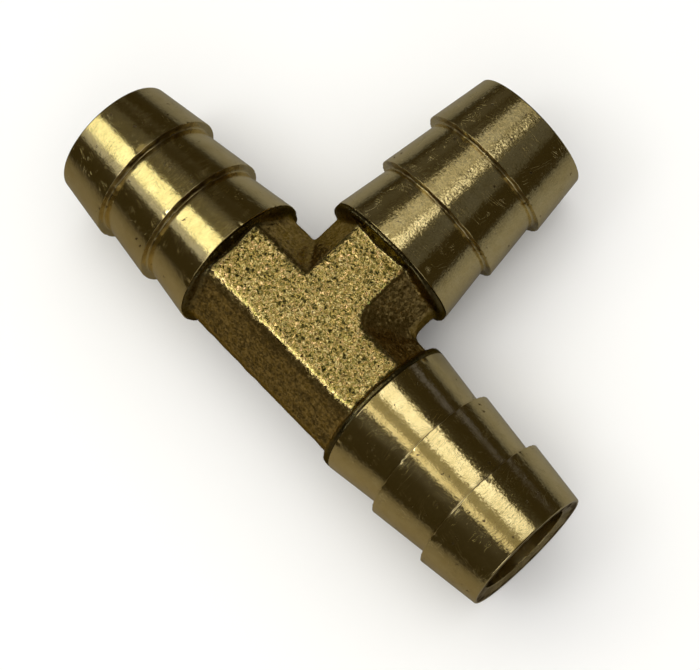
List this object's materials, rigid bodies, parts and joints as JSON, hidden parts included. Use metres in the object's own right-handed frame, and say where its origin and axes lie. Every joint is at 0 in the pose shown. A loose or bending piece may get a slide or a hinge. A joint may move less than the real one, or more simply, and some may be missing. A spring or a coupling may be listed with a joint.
{
  "type": "barbed tee connector",
  "caption": "Brass hose tee: a rough forged T body with flats, and a turned, barbed stem seated on each end for push-on hose and clamp.",
  "frame": {"origin": "where the run's axis and the branch's axis cross", "axes": "+X along the run, +Y out along the branch, +Z normal to the body's upper flat"},
  "size_m": [0.0832, 0.0527, 0.0216],
  "materials": {
    "forged_brass": "shot-blasted forging skin, pebbled",
    "turned_brass": "turned, satin, fine circumferential tool marks"
  },
  "bodies": {
    "root": {"forged_body": "forged_brass", "left_run_barb": "turned_brass", "right_run_barb": "turned_brass", "branch_barb": "turned_brass"}
  },
  "joints": []
}
